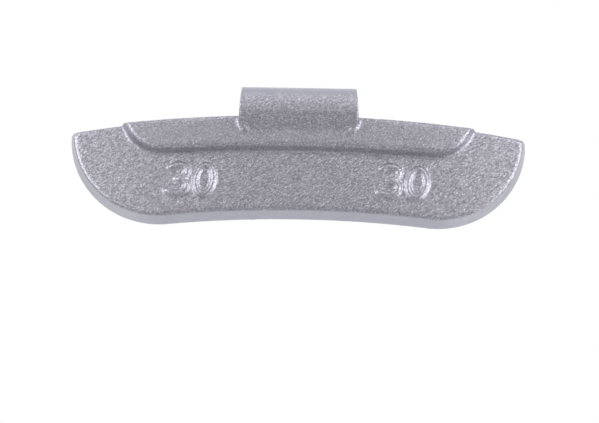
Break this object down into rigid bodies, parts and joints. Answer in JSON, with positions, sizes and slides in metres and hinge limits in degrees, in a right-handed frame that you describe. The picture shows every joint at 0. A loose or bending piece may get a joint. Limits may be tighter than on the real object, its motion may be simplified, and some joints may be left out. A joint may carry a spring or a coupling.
{
  "type": "wheel balance weight",
  "caption": "Clip-on wheel balance weight: a curved die-cast zinc bar with a raised ridge and a cast-in spring steel hook that grips a steel rim's edge.",
  "frame": {"origin": "middle of the clip's throat, where the edge of the rim sits, half way along the weight", "axes": "+X along the weight, +Y towards the inner side of the wheel (out of the flat back), +Z away from the wheel's centre"},
  "size_m": [0.0744, 0.008, 0.0222],
  "materials": {
    "cast_coating": "silver-grey plastic coating with fine metal flake on a die-cast zinc body, slightly rough like orange peel",
    "clip_coating": "the same silver-grey coating on bent spring steel strip, smoother"
  },
  "bodies": {
    "root": {"weight_body": "cast_coating", "rim_clip": "clip_coating"}
  },
  "joints": []
}
